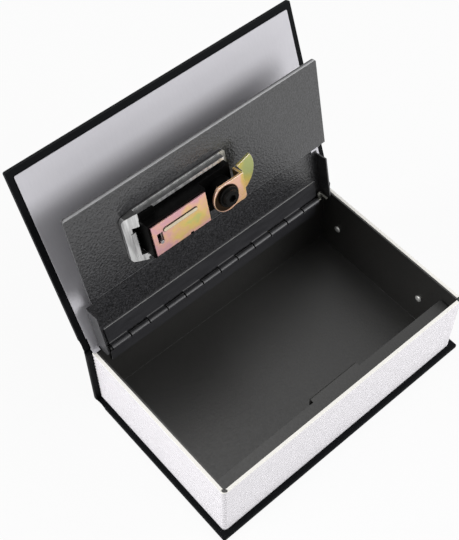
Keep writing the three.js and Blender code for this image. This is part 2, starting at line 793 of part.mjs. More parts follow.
// Shaft: a round spindle from the knob to the cam, squared where the cam sits
function shaft() {
  const bottom = faceOuter - seat - knobSeatDepth + trayClearance;
  const half = shaftSquare / 2;
  const spindle = pillar(shaftRadius, shaftX, shaftS, bottom, camBase - seat);
  const square = block(shaftX - half, shaftX + half, shaftS - half, shaftS + half,
    camBase - seat - overrun, camBase + camThickness);
  const thread = pillar(screwShankRadius + trayClearance, shaftX, shaftS,
    camBase + camThickness - screwShankLength - seat, camBase + camThickness + overrun, smallSides);
  return spindle.add(square).subtract(thread);
}

// Cam: a stamped arm cranked down to a curved claw, whose point leads as it locks
function polar(radius, degrees) {
  const angle = THREE.MathUtils.degToRad(degrees);
  return [radius * Math.cos(angle), radius * Math.sin(angle)];
}

function camArm() {
  const shape = new THREE.Shape();
  const frontAngle = Math.PI - Math.asin(camArmFront / camHeadRadius);
  const backAngle = Math.PI * 2 - Math.asin(camArmBack / camHeadRadius);
  shape.moveTo(camArmLength - camArmCorner, -camArmBack);
  shape.lineTo(camArmLength, -camArmBack + camArmCorner);
  shape.lineTo(camArmLength, camArmFront);
  shape.lineTo(camHeadRadius * Math.cos(frontAngle), camArmFront);
  shape.absarc(0, 0, camHeadRadius, frontAngle, backAngle);
  return raise(shape, camCrank, camCrank + camThickness);
}

function camClaw() {
  const backSteps = 10;
  const start = camArmLength - camThickness;
  const [throatX, throatY] = polar(clawThroatRadius, clawThroatAngle);
  const points = [[start, throatY], [start, -camArmBack + camArmCorner]];
  for (let i = 0; i <= backSteps; i += 1) {
    const share = i / backSteps;
    const angle = clawHeelAngle + (clawTipAngle - clawHeelAngle) * share;
    const growth = Math.sin(Math.PI / 2 * share);
    points.push(polar(clawHeelRadius + (clawTipRadius - clawHeelRadius) * growth, angle));
  }
  points.push(polar(clawBeakRadius, clawBeakAngle), [throatX, throatY]);
  return raise(outline(points), 0, camThickness);
}

function cam() {
  const web = block(camArmLength - camThickness, camArmLength, -camArmBack + camArmCorner, camArmFront,
    0, camCrank + camThickness);
  const half = shaftSquare / 2 + shaftClearance;
  const hole = block(-half, half, -half, half, camCrank - overrun, camCrank + camThickness + overrun);
  return joined([camArm(), web, camClaw()]).subtract(hole)
    .translate(shaftX, shaftS, camBase - camCrank);
}

// Cam screw: a black head with a wide flange under it and a hexagon socket
function camScrew() {
  const bottom = camBase + camThickness + seat;
  const flange = pillar(screwFlangeRadius, 0, 0, bottom, bottom + screwFlangeHeight);
  const head = pillar(screwHeadRadius, 0, 0, bottom, bottom + screwHeadHeight - faceEdge);
  const crown = pillar(screwHeadRadius - faceEdge, 0, 0, bottom, bottom + screwHeadHeight);
  const shank = pillar(screwShankRadius, 0, 0, bottom - screwShankLength, bottom + faceEdge, smallSides);
  const socketRadius = screwSocketFlats / 2 / Math.cos(Math.PI / hexSides);
  const top = bottom + screwHeadHeight;
  const socket = pillar(socketRadius, 0, 0, top - screwSocketDepth, top + overrun, hexSides);
  return joined([flange, head, crown, shank]).subtract(socket).translate(shaftX, shaftS, 0);
}

// Front board and its lining, hinged on the cloth at the spine's outer edge
function frontBoard() {
  const halfLength = boardLength / 2;
  const shape = roundedBox(-halfLength, halfLength, jointWidth, coverReach,
    [0, 0, boardCornerRadius, boardCornerRadius]);
  return raise(shape, coverInner - boardThickness, coverInner - endpaperThickness - seat);
}

function frontEndpaper() {
  const halfLength = boardLength / 2 - endpaperSideMargin;
  const shape = roundedBox(-halfLength, halfLength, jointWidth, coverReach - endpaperForeMargin,
    [0, 0, endpaperCornerRadius, endpaperCornerRadius]);
  return raise(shape, coverInner - endpaperThickness, coverInner);
}

// Front joint: the cloth that turns from the spine's top edge to the front board
function frontJoint() {
  const lean = THREE.MathUtils.degToRad(coverOpenAngle - 90);
  const middle = coverInner - boardThickness / 2;
  const start = jointWidth - seat;
  const boardY = coverPivotY + start * Math.sin(lean) - middle * Math.cos(lean);
  const boardZ = coverPivotZ + start * Math.cos(lean) + middle * Math.sin(lean);
  const spineMid = spineOuter - clothThickness / 2;
  const section = foldedSection([
    [spineMid, rim + seat],
    [spineMid + clothThickness, coverPivotZ],
    [boardY, boardZ],
  ], clothThickness, bendRadius);
  return runX(section, -boardLength / 2, boardLength / 2);
}

add(model, 'back_board', backBoard(), bookcloth);
add(model, 'back_joint_cloth', backJoint(), bookcloth);
add(model, 'spine_board', spineBoard(), bookcloth);
add(model, 'page_block', pageBlock(), pageWhite);
add(model, 'tray', tray(), traySteel);
rivetPlaces().forEach(({ side, y }, i) => {
  const mesh = add(model, `side_rivet_${i + 1}`, rivet(), rivetSteel);
  mesh.rotation.z = side * (Math.PI / 2);
  mesh.position.set(side * (trayInnerX - rivetSeat + rivetShankLength), y, rim - rivetDepthBelowRim);
});
const trayLeaf = add(model, 'tray_hinge_leaf', hingeLeaf(1, 1), lidSteel);
trayLeaf.position.set(0, axisY, axisZ);
trayLeaf.rotation.x = -Math.PI / 2;

add(lid, 'lid_sheet', lidSheet(), lidSteel);
add(lid, 'lid_hinge_leaf', hingeLeaf(0, -1), lidSteel);
add(lid, 'hinge_pin', hingePin(), rivetSteel);
add(lid, 'lock_housing', lockHousing(), dieCast);
add(lid, 'lock_body', lockBody(), blackPlastic);
add(lid, 'lock_back_plate', backPlate(), zincGold);
add(lid, 'code_lever', codeLever(), springSteel);
for (let i = 0; i < dialCount; i += 1) {
  add(lid, `dial_${i + 1}`, dialWheel(i), blackPlastic);
}
add(lid, 'dial_axle', dialAxle(), springSteel);
add(lid, 'detent_spring', detentSpring(), springSteel);
add(lid, 'face_plate', facePlate(), blackPlastic);
add(lid, 'turn_knob', knob(), blackPlastic);
add(lid, 'cam_shaft', shaft(), springSteel);
add(lid, 'cam', cam(), zincGold);
add(lid, 'cam_screw', camScrew(), blackSteel);

add(cover, 'front_board', frontBoard(), bookcloth);
add(cover, 'front_endpaper', frontEndpaper(), endpaper);
add(model, 'front_joint_cloth', frontJoint(), bookcloth);

export default model;
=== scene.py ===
import json
import math

import bpy
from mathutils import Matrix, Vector

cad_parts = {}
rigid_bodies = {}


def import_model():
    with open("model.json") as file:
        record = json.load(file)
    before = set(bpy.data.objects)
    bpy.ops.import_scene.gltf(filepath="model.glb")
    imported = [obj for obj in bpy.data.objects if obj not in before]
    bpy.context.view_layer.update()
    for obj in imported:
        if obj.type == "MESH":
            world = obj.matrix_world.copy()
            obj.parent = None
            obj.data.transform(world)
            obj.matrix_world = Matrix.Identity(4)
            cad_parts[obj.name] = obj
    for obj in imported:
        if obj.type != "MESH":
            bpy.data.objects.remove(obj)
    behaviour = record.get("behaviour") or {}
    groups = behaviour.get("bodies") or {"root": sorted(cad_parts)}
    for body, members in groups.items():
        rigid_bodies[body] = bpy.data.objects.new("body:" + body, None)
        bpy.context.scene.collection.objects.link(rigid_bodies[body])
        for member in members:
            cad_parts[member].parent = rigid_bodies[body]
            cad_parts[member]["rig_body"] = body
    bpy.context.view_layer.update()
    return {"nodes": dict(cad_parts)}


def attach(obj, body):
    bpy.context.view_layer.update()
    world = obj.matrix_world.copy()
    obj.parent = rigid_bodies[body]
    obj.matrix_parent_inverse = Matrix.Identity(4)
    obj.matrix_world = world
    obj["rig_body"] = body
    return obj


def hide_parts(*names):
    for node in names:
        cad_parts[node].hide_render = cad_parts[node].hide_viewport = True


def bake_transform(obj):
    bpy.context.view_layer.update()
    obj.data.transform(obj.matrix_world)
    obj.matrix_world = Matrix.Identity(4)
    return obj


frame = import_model()

# The camera looks down on the open safe from its front left corner. Three soft lamps light
# it: a broad key from the right, a fill from the left and a weak one above.
bpy.ops.object.select_all(action="DESELECT")
bpy.ops.object.camera_add(
    location=(-0.2223, -0.2167, 0.5490), rotation=(0.60775, 0.00500, -0.71660))
camera = bpy.context.object
camera.name = "viewpoint"
camera.data.lens = 71.75
camera.data.sensor_width = 36
camera.data.clip_start = 0.01
bpy.context.scene.camera = camera
bpy.context.scene.view_settings.view_transform = "Standard"


def softbox(name, place, aim, size, power):
    """A soft rectangular lamp that points from its place at its aim."""
    bpy.ops.object.light_add(type="AREA", location=place)
    lamp = bpy.context.object
    lamp.name = name
    lamp.data.shape = "RECTANGLE"
    lamp.data.size, lamp.data.size_y = size
    lamp.data.energy = power
    beam = Vector(aim) - Vector(place)
    lamp.rotation_euler = beam.to_track_quat("-Z", "Y").to_euler()


softbox("key_softbox", place=(0.90, -0.98, 0.70), aim=(0, 0, 0.08), size=(1.5, 0.9), power=22)
softbox("left_softbox", place=(-1.25, 0.40, 0.55), aim=(0, -0.02, 0.02), size=(0.7, 0.7),
        power=15.5)
softbox("top_softbox", place=(0.10, 0.35, 1.45), aim=(0, 0, 0.10), size=(0.8, 0.8), power=3.5)


# The safe lies on a plain pale table in a white studio. Both look white to the camera and
# in shiny pieces, while the table keeps the safe's shadow. Neither is part of the safe.
class Shade:
    """A socket that can be written into sums like a number."""

    def __init__(self, nodes, socket):
        self.nodes = nodes
        self.socket = socket

    def arithmetic(self, operation, first, second):
        return self.nodes.node(
            "ShaderNodeMath", {"operation": operation}, {0: first, 1: second})

    def __add__(self, other):
        return self.arithmetic("ADD", self, other)

    def __sub__(self, other):
        return self.arithmetic("SUBTRACT", self, other)

    def __rsub__(self, other):
        return self.arithmetic("SUBTRACT", other, self)

    def __mul__(self, other):
        return self.arithmetic("MULTIPLY", self, other)

    __radd__ = __add__
    __rmul__ = __mul__


class Nodes:
    """The nodes of one finish, or of the air in the studio."""

    def __init__(self, tree):
        self.tree = tree

    def node(self, kind, settings, inputs, output=0):
        """Make a node, give it its settings and inputs, and hand back one of its outputs."""
        made = self.tree.nodes.new(kind)
        for name, value in settings.items():
            if name == "stops":
                ramp = made.color_ramp
                while len(ramp.elements) < len(value):
                    ramp.elements.new(0.5)
                for element, (position, colour) in zip(ramp.elements, value):
                    element.position = position
                    element.color = (*colour, 1)
            else:
                setattr(made, name, value)
        for key, value in inputs.items():
            if isinstance(value, Shade):
                self.tree.links.new(value.socket, made.inputs[key])
            else:
                made.inputs[key].default_value = value
        return Shade(self, made.outputs[output])

    def open_view(self):
        """1 where the camera or a shiny piece sees what the nodes belong to, otherwise 0."""
        seen = self.node("ShaderNodeLightPath", {}, {}, "Is Camera Ray")
        return seen + self.node("ShaderNodeLightPath", {}, {}, "Is Glossy Ray")


class Finish(Nodes):
    """A material for one of the safe's finishes, built up from what varies over it."""

    def __init__(self, name, **fixed):
        self.material = bpy.data.materials.new(name)
        self.material.use_nodes = True
        super().__init__(self.material.node_tree)
        self.shader = self.tree.nodes["Principled BSDF"]
        for socket, value in fixed.items():
            self.shader.inputs[socket.replace("_", " ")].default_value = value
        self.place = self.node("ShaderNodeTexCoord", {}, {}, "Object")

    def stretched(self, x, y, z):
        return self.node("ShaderNodeMapping", {}, {"Vector": self.place, "Scale": (x, y, z)})

    def along(self, axis):
        return self.node("ShaderNodeSeparateXYZ", {}, {"Vector": self.place}, axis)

    def noise(self, scale, detail=3, at=None):
        return self.node("ShaderNodeTexNoise", {}, {
            "Vector": at or self.place, "Scale": scale, "Detail": detail})

    def pebbles(self, scale, softness):
        return self.node("ShaderNodeTexVoronoi", {"feature": "SMOOTH_F1"}, {
            "Vector": self.place, "Scale": scale, "Smoothness": softness}, "Distance")

    def spread(self, value, low, high):
        return self.node("ShaderNodeMapRange", {"clamp": True}, {
            "Value": value, "From Min": low, "From Max": high})

    def mix(self, factor, first, second):
        colours = {6: first, 7: second}
        for key, colour in colours.items():
            if isinstance(colour, tuple):
                colours[key] = (*colour, 1)
        return self.node("ShaderNodeMix", {"data_type": "RGBA"}, {0: factor, **colours}, 2)

    def vary(self, socket, value):
        self.tree.links.new(value.socket, self.shader.inputs[socket])

    def bump(self, height, distance, strength):
        self.vary("Normal", self.node("ShaderNodeBump", {}, {
            "Height": height, "Distance": distance, "Strength": strength}))

    def coat(self, piece):
        piece.data.materials.clear()
        piece.data.materials.append(self.material)


gap_to_table = 0.0002
whiteness = 0.93
bpy.ops.mesh.primitive_plane_add(size=6, location=(0, 0, -gap_to_table))
table = bpy.context.object
table.name = "table_top"
pale = Finish("pale_table", Roughness=0.9)
pale.vary("Base Color", pale.mix(pale.noise(scale=3), (0.66, 0.66, 0.66), (0.70, 0.70, 0.70)))
glow = pale.node("ShaderNodeEmission", {}, {"Color": (1, 1, 1, 1), "Strength": 1}, "Emission")
blended = pale.node("ShaderNodeMixShader", {}, {
    0: pale.open_view() * whiteness, 1: Shade(pale, pale.shader.outputs[0]), 2: glow})
pale.tree.links.new(blended.socket, pale.tree.nodes["Material Output"].inputs["Surface"])
pale.coat(table)
pale.material.cycles.emission_sampling = "NONE"

light_of_room = 0.12
world = bpy.data.worlds.new("studio")
bpy.context.scene.world = world
world.use_nodes = True
air = Nodes(world.node_tree)
level = light_of_room + air.open_view() * (1 - light_of_room)
backdrop = air.tree.nodes["Background"]
backdrop.inputs["Color"].default_value = (1, 1, 1, 1)
air.tree.links.new(level.socket, backdrop.inputs["Strength"])


# The back board is grey board cut to size and wrapped in grained black book cloth,
# which is turned in over all its edges and leaves them softly rounded.
def eased(node, finish, width, segments, edge_highlight=None):
    """A merged copy of a CAD node with its edges rounded off, which stands for the node."""
    sharp_from = math.radians(35)
    shell = frame["nodes"][node].data.copy()
    shell.materials.clear()
    for look in (finish, edge_highlight or finish):
        shell.materials.append(look.material)
    piece = bpy.data.objects.new(node + "_finished", shell)
    bpy.context.scene.collection.objects.link(piece)
    bpy.ops.object.select_all(action="DESELECT")
    piece.select_set(True)
    bpy.context.view_layer.objects.active = piece
    bpy.ops.object.mode_set(mode="EDIT")
    bpy.ops.mesh.select_all(action="SELECT")
    bpy.ops.mesh.remove_doubles(threshold=1e-6)
    bpy.ops.mesh.dissolve_limited(angle_limit=math.radians(0.5))
    bpy.ops.object.mode_set(mode="OBJECT")
    edge = piece.modifiers.new("eased_edges", "BEVEL")
    edge.width = width
    edge.segments = segments
    edge.limit_method = "ANGLE"
    edge.angle_limit = sharp_from
    # The rounded edges take the second finish; where one is given, it is a painted highlight
    # along them.
    edge.material = 1
    bpy.ops.object.modifier_apply(modifier=edge.name)
    bpy.ops.object.shade_smooth_by_angle(angle=sharp_from)
    even = piece.modifiers.new("even_shading", "WEIGHTED_NORMAL")
    even.keep_sharp = True
    bpy.ops.object.modifier_apply(modifier=even.name)
    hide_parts(node)
    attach(piece, frame["nodes"][node]["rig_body"])
    return piece


cloth = Finish("black_book_cloth", Specular_IOR_Level=0.05)
patches = cloth.noise(scale=60)
new_cloth, rubbed_cloth = (0.0030, 0.0034, 0.0040), (0.0060, 0.0066, 0.0078)
cloth.vary("Base Color", cloth.mix(patches, new_cloth, rubbed_cloth))
cloth.vary("Roughness", 0.5 + patches * 0.2)
leather_grain = cloth.pebbles(scale=1100, softness=0.6) + cloth.noise(scale=420) * 0.6
cloth.bump(leather_grain, distance=0.00012, strength=0.6)
back_board = eased("back_board", cloth, width=0.0009, segments=4)

# The spine is a stiff board of its own in the same cloth, glued to the back of the block.
# Its long edges are rounded by the cloth that wraps them.
spine = eased("spine_board", cloth, width=0.0006, segments=3)


# Between back board and spine the cloth alone crosses the joint. It is pressed into a
# shallow groove there, so that the boards can swing.
def pick(piece, wanted):
    """Open a piece for editing with the corners selected that are wanted."""
    bpy.ops.object.select_all(action="DESELECT")
    piece.select_set(True)
    bpy.context.view_layer.objects.active = piece
    bpy.ops.object.mode_set(mode="EDIT")
    bpy.ops.mesh.select_mode(type="VERT")
    bpy.ops.mesh.select_all(action="DESELECT")
    bpy.ops.object.mode_set(mode="OBJECT")
    for corner in piece.data.vertices:
        corner.select = wanted(corner.co)
    bpy.ops.object.mode_set(mode="EDIT")


def strip(name, path, half_length, thickness):
    """A thin sheet drawn along a path in Y and Z, with its length across the book."""
    bpy.ops.object.select_all(action="DESELECT")
    bpy.ops.mesh.primitive_plane_add(size=2 * half_length, location=(0, 0, 0))
    piece = bpy.context.object
    piece.name = name
    pick(piece, lambda spot: spot.y > 0)
    bpy.ops.mesh.delete(type="VERT")
    bpy.ops.mesh.select_all(action="SELECT")
    start_y, start_z = path[0]
    bpy.ops.transform.translate(value=(0, start_y + half_length, start_z))
    bpy.ops.mesh.subdivide(number_cuts=40)
    for before, after in zip(path, path[1:]):
        step = (0, after[0] - before[0], after[1] - before[1])
        bpy.ops.mesh.extrude_edges_move(TRANSFORM_OT_translate={"value": step})
    bpy.ops.mesh.select_all(action="SELECT")
    bpy.ops.mesh.normals_make_consistent(inside=False)
    bpy.ops.object.mode_set(mode="OBJECT")
    wall = piece.modifiers.new("thickness", "SOLIDIFY")
    wall.thickness = thickness
    wall.offset = 0
    bpy.ops.object.modifier_apply(modifier=wall.name)
    bpy.ops.object.mode_set(mode="EDIT")
    bpy.ops.mesh.select_all(action="SELECT")
    bpy.ops.mesh.normals_make_consistent(inside=False)
    bpy.ops.object.mode_set(mode="OBJECT")
    bpy.ops.object.shade_smooth_by_angle(angle=math.radians(50))
    return piece


back_groove = [
    (0.04710, 0.00035), (0.04800, 0.00060), (0.04950, 0.00110), (0.05070, 0.00125),
    (0.05190, 0.00105), (0.05340, 0.00050), (0.05460, 0.00035)]
back_joint = strip("back_joint_groove", back_groove, half_length=0.0903, thickness=0.0006)
cloth.coat(back_joint)
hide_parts("back_joint_cloth")
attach(back_joint, "case")

# The front board is the same board and cloth as the back, and leans back where it is held open.
# The cloth of its joint is drawn bent to follow it, as on the real binding.
front_board = eased("front_board", cloth, width=0.0008, segments=4)

cover_lean = math.radians(69.44)
cover_pivot = Vector((0, 0.05705, 0.053))
up_cover = Vector((0, math.cos(cover_lean), math.sin(cover_lean)))
in_cover = Vector((0, -up_cover.z, up_cover.y))


def on_cover(along, inward):
    """Y and Z of a spot given by its way up the open cover and its way in from it."""
    spot = cover_pivot + up_cover * along + in_cover * inward
    return (spot.y, spot.z)


front_groove = [
    (0.05700, 0.0488), (0.05712, 0.0499), (0.05700, 0.0510), (0.05690, 0.0521),
    on_cover(0.0010, -0.0004), on_cover(0.0026, 0.0000), on_cover(0.0042, -0.0002),
    on_cover(0.0060, -0.0008), on_cover(0.0076, -0.0012)]
front_joint = strip("front_joint_groove", front_groove, half_length=0.0904, thickness=0.0005)
cloth.coat(front_joint)
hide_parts("front_joint_cloth")
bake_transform(front_joint)

# The lining is a sheet of pale grey paper pasted to the inside of the front board. It
# stops short of three edges, where the turned-in cloth shows as a black border.
paper = Finish("grey_lining_paper", Roughness=0.75)
fibres = paper.noise(scale=900, at=paper.stretched(1, 0.25, 0.25))
shaded_paper, clean_paper = (0.60, 0.59, 0.63), (0.68, 0.67, 0.71)
paper.vary("Base Color", paper.mix(
    fibres * 0.5 + paper.noise(scale=40) * 0.5, shaded_paper, clean_paper))
paper.bump(fibres, distance=0.00004, strength=0.5)
lining = eased("front_endpaper", paper, width=0.0001, segments=1)

# Below the board the same paper runs on over the joint and is pasted to the top of the spine.
paper_thickness = 0.0002
fold = [
    on_cover(0.0084, 0.0012), on_cover(0.0070, 0.0012), (0.05720, 0.05750),
    (0.05655, 0.05530), (0.05590, 0.05330), (0.05530, 0.05190), (0.05450, 0.05135)]
joint_lining = strip("joint_lining", fold, half_length=0.0866, thickness=paper_thickness)
paper.coat(joint_lining)
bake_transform(joint_lining)

# At each end the paper's lower corner is not pasted down. It is crumpled forwards over
# the rim of the block, and stays there when the cover moves.
crumple_half_length = 0.0021
crumple_from_middle = 0.0849
crumple_path = [
    (0.05560, 0.05290), (0.05500, 0.05205), (0.05440, 0.05150), (0.05375, 0.05150),
    (0.05310, 0.05125), (0.05240, 0.05118)]
for side in (-1, 1):
    crumple = strip(
        f"lining_corner_{side + 2}", crumple_path, crumple_half_length, paper_thickness)
    pick(crumple, lambda spot: True)
    bpy.ops.transform.translate(value=(side * crumple_from_middle, 0, 0))
    bpy.ops.object.mode_set(mode="OBJECT")
    paper.coat(crumple)
    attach(crumple, "case")

# The page block is a white moulding round three sides of the tray, ribbed along its
# whole height so that it passes for the edges of a stack of leaves.
leaves = Finish("white_page_edges", Roughness=0.6)
layers = leaves.noise(scale=24, detail=2, at=leaves.stretched(0.35, 0.35, 34))
blotches = leaves.noise(scale=110, detail=2)
# The top rim is painted near-white ivory, lighter than the sides, as painted light where the top
# catches the lamps.
rim_starts, rim_whole = 0.0503, 0.0505
grey_leaves, white_leaves, rim_painted_light = (0.79, 0.77, 0.80), (0.85, 0.83, 0.86), (0.98, 0.96, 0.91)
flanks = leaves.mix(layers * 0.4 + blotches * 0.6, grey_leaves, white_leaves)
on_lit_rim = leaves.spread(leaves.along("Z"), rim_starts, rim_whole)
leaves.vary("Base Color", leaves.mix(on_lit_rim, flanks, rim_painted_light))
leaves.bump(layers, distance=0.00005, strength=0.3)
pages = eased("page_block", leaves, width=0.00012, segments=1)

block_half_length = 0.0875
block_front = 0.05375
block_corner = 0.0022
block_middle_height = 0.027
side_rib_end = 0.0530


def inset(spot):
    """How deep a corner of the page block lies below its outer faces."""
    beyond_x = abs(spot.x) - (block_half_length - block_corner)
    beyond_y = -spot.y - (block_front - block_corner)
    if beyond_x > 0 and beyond_y > 0:
        return block_corner - math.hypot(beyond_x, beyond_y)
    return block_corner - max(beyond_x, beyond_y)


# The grooves between its ribs are drawn shallow but for their last stretch at the spine,
# where they are cut through at the end of the moulding's side.
shallow_to = 0.0445
groove_from, groove_to = 0.0004, 0.00088
groove_drawn_out = (1.0046, 1.0044, 1)
pick(pages, lambda spot: True)
bpy.ops.mesh.bisect(plane_co=(0, shallow_to, 0), plane_no=(0, 1, 0))
bpy.ops.object.mode_set(mode="OBJECT")
pick(pages, lambda spot: groove_from < inset(spot) < groove_to and spot.y < side_rib_end)
bpy.ops.transform.resize(
    value=groove_drawn_out, center_override=(0, block_front, block_middle_height))
bpy.ops.object.mode_set(mode="OBJECT")

end_groove_from, end_groove_to = 0.0860, 0.0872
end_groove_depth = 0.0007
for side in (-1, 1):
    pick(pages, lambda spot: (
        end_groove_from < spot.x * side < end_groove_to and spot.y > side_rib_end))
    bpy.ops.transform.translate(value=(-side * end_groove_depth, 0, 0))
    bpy.ops.object.mode_set(mode="OBJECT")

first_rib = 0.003
rib_pitch = 0.0032
rib_top_from, rib_top_to = 0.00185, 0.00225
rib_slope = 0.0009
pick(pages, lambda spot: (
    abs(spot.x) > end_groove_to and spot.y > side_rib_end
    and rib_top_from < (spot.z - first_rib) % rib_pitch < rib_top_to))
bpy.ops.transform.translate(value=(0, 0, -rib_slope))
bpy.ops.object.mode_set(mode="OBJECT")

# The tray is folded from black powder-coated sheet, with the front wall turned in as a
# flange that the lid rests on and a tab in its middle that the cam hooks under.
tray_coat = Finish("black_powder_coat", Specular_IOR_Level=0.6)
orange_peel = tray_coat.noise(scale=700, detail=2)
thin_coat, thick_coat = (0.019, 0.0184, 0.0170), (0.010, 0.0098, 0.0090)
tray_coat.vary("Base Color", tray_coat.mix(tray_coat.noise(scale=25), thick_coat, thin_coat))
tray_coat.vary("Roughness", 0.3 + orange_peel * 0.16)
tray_coat.bump(orange_peel, distance=0.00008, strength=0.5)
# The tray's rounded edges are painted a paler grey, as painted highlights along them.
tray_edge_highlight = Finish("powder_coat_painted_highlight", Roughness=0.4)
tray_edge_highlight.vary("Base Color", tray_edge_highlight.mix(
    tray_edge_highlight.noise(scale=90), (0.02, 0.02, 0.02), (0.11, 0.11, 0.11)))
tray = eased("tray", tray_coat, width=0.00018, segments=2, edge_highlight=tray_edge_highlight)

# Where the front wall meets each end wall, the folded corner stands a little proud of
# the sheet and bites into the moulding's rim.
fold_radius, fold_height = 0.00125, 0.0019
fold_from_middle, fold_from_centre, fold_level = 0.0857, 0.0523, 0.0503
fold_squash, fold_turn = (0.8, 1.3, 1), 0.75
for side in (-1, 1):
    bpy.ops.object.select_all(action="DESELECT")
    bpy.ops.mesh.primitive_cylinder_add(
        vertices=24, radius=fold_radius, depth=fold_height, location=(0, 0, 0))
    fold_tip = bpy.context.object
    fold_tip.name = f"tray_corner_fold_{side + 2}"
    bpy.ops.object.mode_set(mode="EDIT")
    bpy.ops.mesh.select_all(action="SELECT")
    bpy.ops.transform.resize(value=fold_squash, center_override=(0, 0, 0))
    bpy.ops.transform.rotate(
        value=side * fold_turn, orient_axis="Z", center_override=(0, 0, 0))
    bpy.ops.transform.translate(
        value=(side * fold_from_middle, -fold_from_centre, fold_level))
    bpy.ops.object.mode_set(mode="OBJECT")
    lip = fold_tip.modifiers.new("soft_lip", "BEVEL")
    lip.width, lip.segments = 0.00035, 3
    bpy.ops.object.modifier_apply(modifier=lip.name)
    bpy.ops.object.shade_smooth_by_angle(angle=math.radians(40))
    tray_coat.coat(fold_tip)
    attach(fold_tip, "case")

# Four bare pop rivets hold the end walls of the tray to the moulding behind them. Their
# low round heads are plain metal, scuffed in use.
bare = Finish("bare_rivet", Metallic=0.7)
scuffs = bare.noise(scale=500)
bare.vary("Base Color", bare.mix(scuffs, (0.50, 0.50, 0.48), (0.72, 0.72, 0.70)))
bare.vary("Roughness", 0.38 + scuffs * 0.2)
for number in range(1, 5):
    rivet = eased(f"side_rivet_{number}", bare, width=0.0001, segments=1)

# The piano hinge is two leaves of thin sheet whose edges are rolled into knuckles by turns, in
# dark paint. The leaves' rounded edges and the lid leaf's upper edge are painted pale grey, as
# painted highlights.
pin_middle = Vector((0, 0.05095, 0.0483))
along_lid = Vector((0, 0.219846, 0.975535))
off_lid = Vector((0, -0.975535, 0.219846))
hinge_length = 0.154
knuckle_count = 12
knuckle_pitch = hinge_length / knuckle_count


def climb(finish):
    """How far up the open lid from the hinge pin the spots of a finish lie."""
    from_pin = finish.node("ShaderNodeVectorMath", {"operation": "SUBTRACT"}, {
        0: finish.place, 1: pin_middle}, "Vector")
    return finish.node("ShaderNodeVectorMath", {"operation": "DOT_PRODUCT"}, {
        0: from_pin, 1: along_lid}, "Value")


def refinish(piece, slot, wanted):
    """Give the faces that are wanted the finish in another of the piece's slots."""
    for face in piece.data.polygons:
        if wanted(face):
            face.material_index = slot


def faces_up(face, direction, least, beyond):
    """Whether a face looks one way and lies far enough up the lid."""
    from_pin = face.center - pin_middle
    return face.normal.dot(direction) > least and from_pin.dot(along_lid) > beyond


hinge_paint = Finish("dark_hinge_paint", Specular_IOR_Level=0.55)
brushed = hinge_paint.noise(scale=500, at=hinge_paint.stretched(0.15, 1, 1))
# A thin pale band is painted on each lid knuckle where the leaf turns into the roll, as a
# painted highlight along the bend.
highlight_band_low, highlight_band_high, highlight_band_blur = 0.0026, 0.0030, 0.0001
lid_knuckle_share = 0.47
pitches = (hinge_paint.along("X") + hinge_length / 2) * (0.5 / knuckle_pitch)
turns = hinge_paint.node("ShaderNodeMath", {"operation": "FRACT"}, {0: pitches})
at_lid_knuckle = hinge_paint.node(
    "ShaderNodeMath", {"operation": "LESS_THAN"}, {0: turns, 1: lid_knuckle_share})
up_leaf = climb(hinge_paint)
above_low = hinge_paint.spread(up_leaf, highlight_band_low, highlight_band_low + highlight_band_blur)
above_high = hinge_paint.spread(up_leaf, highlight_band_high, highlight_band_high + highlight_band_blur)
painted_bend_highlight = at_lid_knuckle * above_low * (1 - above_high)
flat_paint = hinge_paint.mix(brushed, (0.016, 0.016, 0.018), (0.034, 0.034, 0.038))
hinge_paint.vary("Base Color", hinge_paint.mix(painted_bend_highlight, flat_paint, (0.20, 0.20, 0.20)))
hinge_paint.vary("Roughness", 0.32 + brushed * 0.16)
# The leaves' rounded edges and the lid leaf's upper edge are painted pale grey, as painted
# highlights.
leaf_edge_highlight = Finish("leaf_edge_painted_highlight", Roughness=0.4)
leaf_edge_highlight.vary("Base Color", leaf_edge_highlight.mix(
    leaf_edge_highlight.noise(scale=150), (0.42, 0.42, 0.42), (0.62, 0.62, 0.62)))

knuckle_reach = 0.0066
barrel_reach = 0.0021
shortened = 0.95
upper_edge_from = 0.0135
nearly_square = 0.9
for node, first in (("tray_hinge_leaf", 1), ("lid_hinge_leaf", 0)):
    leaf = eased(node, hinge_paint, width=0.00010, segments=1)
    for number in range(first, knuckle_count, 2):
        middle = (number + 0.5 - knuckle_count / 2) * knuckle_pitch
        pick(leaf, lambda spot: (
            abs(spot.x - middle) < knuckle_reach
            and math.hypot(spot.y - pin_middle.y, spot.z - pin_middle.z) < barrel_reach))
        bpy.ops.transform.resize(
            value=(shortened, 1, 1), center_override=(middle, pin_middle.y, pin_middle.z))
        bpy.ops.object.mode_set(mode="OBJECT")
    leaf.data.materials[1] = leaf_edge_highlight.material
    refinish(leaf, 1, lambda face: (
        faces_up(face, along_lid, nearly_square, upper_edge_from)))

# One long wire pin runs through all the knuckles. Its right end is beaten flat and bent
# over, and shows bare beside the last knuckle.
wire = Finish("pin_wire_painted_shade", Metallic=0.6)
# The pin is painted near black everywhere but its bare right end, as painted shade where it
# shows in the gaps between the knuckles.
bare_from, bare_whole = 0.0772, 0.0776
knob_colour = wire.mix(wire.noise(scale=300), (0.10, 0.10, 0.09), (0.17, 0.17, 0.15))
past_pin_shade = wire.spread(wire.along("X"), bare_from, bare_whole)
wire.vary("Base Color", wire.mix(past_pin_shade, (0.01, 0.01, 0.01), knob_colour))
wire.vary("Roughness", 0.4 + wire.noise(scale=500) * 0.2)
pin = eased("hinge_pin", wire, width=0.00015, segments=1)

